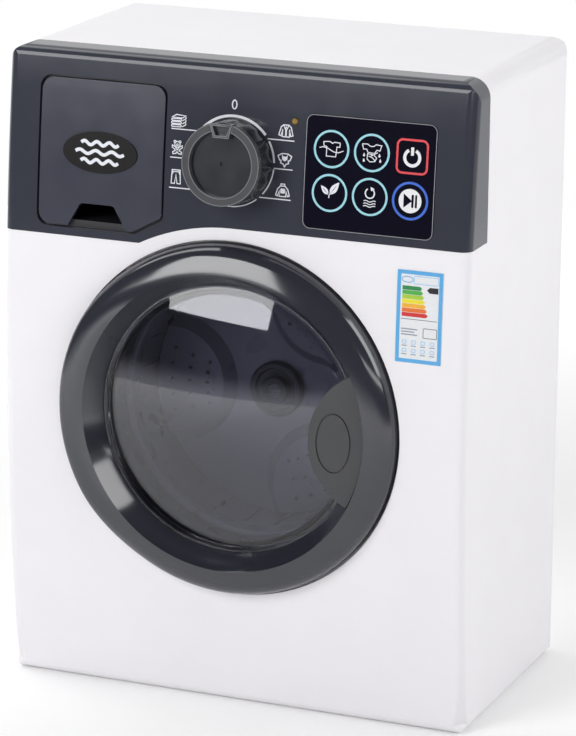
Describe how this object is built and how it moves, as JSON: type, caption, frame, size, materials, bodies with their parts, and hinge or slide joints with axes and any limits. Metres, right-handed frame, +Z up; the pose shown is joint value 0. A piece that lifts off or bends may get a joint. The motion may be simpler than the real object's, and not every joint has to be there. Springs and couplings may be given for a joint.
{
  "type": "toy washing machine",
  "caption": "Toy front-loading washing machine with hinged round door, turning drum, ribbed selector, pull-out detergent drawer and touch panel.",
  "frame": {"origin": "centre of the cabinet's flat base", "axes": "+X to the right as seen from the front, +Y to the back, +Z up"},
  "size_m": [0.2, 0.1287, 0.265],
  "materials": {
    "white_shell": "satin",
    "panel_grey": "satin",
    "ring_grey": "gloss",
    "knob_grey": "gloss",
    "dark_abs": "matt",
    "smoked_clear": "gloss",
    "drum_smoke": "satin",
    "gloss_black": "gloss",
    "label_print": "satin",
    "badge_black": "satin",
    "lamp_amber": "gloss",
    "steel": "satin",
    "brass": "satin",
    "gear_white": "satin",
    "board_green": "satin",
    "motor_can": "satin",
    "cell_wrap": "satin",
    "cone_black": "matt"
  },
  "bodies": {
    "housing": {"cabinet": "white_shell", "front_shell": "white_shell", "control_panel": "panel_grey", "battery_cover": "white_shell", "battery_cover_screw": "steel", "battery_cells": "cell_wrap", "battery_contacts": "steel", "shell_screws": "steel", "speaker": "cone_black", "speaker_clamp": "steel", "porthole_bezel": "dark_abs", "tub": "dark_abs", "tub_screws": "steel", "drum_bush": "brass", "gearbox_cover": "gear_white", "gearbox_screws": "steel", "motor": "motor_can", "idler_axle": "steel", "drawer_sleeve": "dark_abs", "circuit_board": "board_green", "board_screws": "steel", "rotary_switch": "dark_abs", "click_spring": "steel", "indicator_led": "lamp_amber", "display_plate": "gloss_black", "energy_label": "label_print", "hinge_pin": "steel"},
    "door": {"door_ring": "ring_grey", "door_window": "smoked_clear", "door_liner": "dark_abs", "door_grip": "ring_grey", "door_screws": "steel", "door_catch": "dark_abs"},
    "drum": {"drum_shell": "drum_smoke", "drum_back_plate": "drum_smoke", "drum_hub_cap": "dark_abs", "drum_screw": "steel", "drum_shaft": "steel", "drum_gear": "gear_white"},
    "idler": {"idler_gear": "gear_white"},
    "rotor": {"motor_pinion": "gear_white", "motor_shaft": "steel"},
    "selector": {"selector_knob": "knob_grey", "selector_shaft": "dark_abs", "click_wheel": "gear_white"},
    "drawer": {"drawer_front": "panel_grey", "drawer_tray": "panel_grey", "drawer_badge": "badge_black"}
  },
  "joints": [
    {"name": "door_hinge", "type": "hinge", "parent": "housing", "child": "door", "pos_m": [-0.0677, -0.074, 0.1217], "axis": [0, 0, -1], "range_deg": [0, 95]},
    {"name": "drum_spin", "type": "hinge", "parent": "housing", "child": "drum", "pos_m": [0, -0.028, 0.1217], "axis": [0, 1, 0], "continuous": true},
    {"name": "idler_spin", "type": "hinge", "parent": "housing", "child": "idler", "pos_m": [0.02121, -0.004, 0.10049], "axis": [0, 1, 0], "continuous": true},
    {"name": "motor_spin", "type": "hinge", "parent": "housing", "child": "rotor", "pos_m": [0.00212, -0.004, 0.08139], "axis": [0, 1, 0], "continuous": true},
    {"name": "selector_turn", "type": "hinge", "parent": "housing", "child": "selector", "pos_m": [0, -0.06574, 0.22665], "axis": [0, -0.9951, 0.0985], "range_deg": [-141, 141]},
    {"name": "drawer_slide", "type": "slide", "parent": "housing", "child": "drawer", "axis": [0, -1, 0], "range_m": [0, 0.042]}
  ],
  "couplings": [
    {"joint": "idler_spin", "follows": "drum_spin", "ratio": -4},
    {"joint": "motor_spin", "follows": "drum_spin", "ratio": 14}
  ]
}
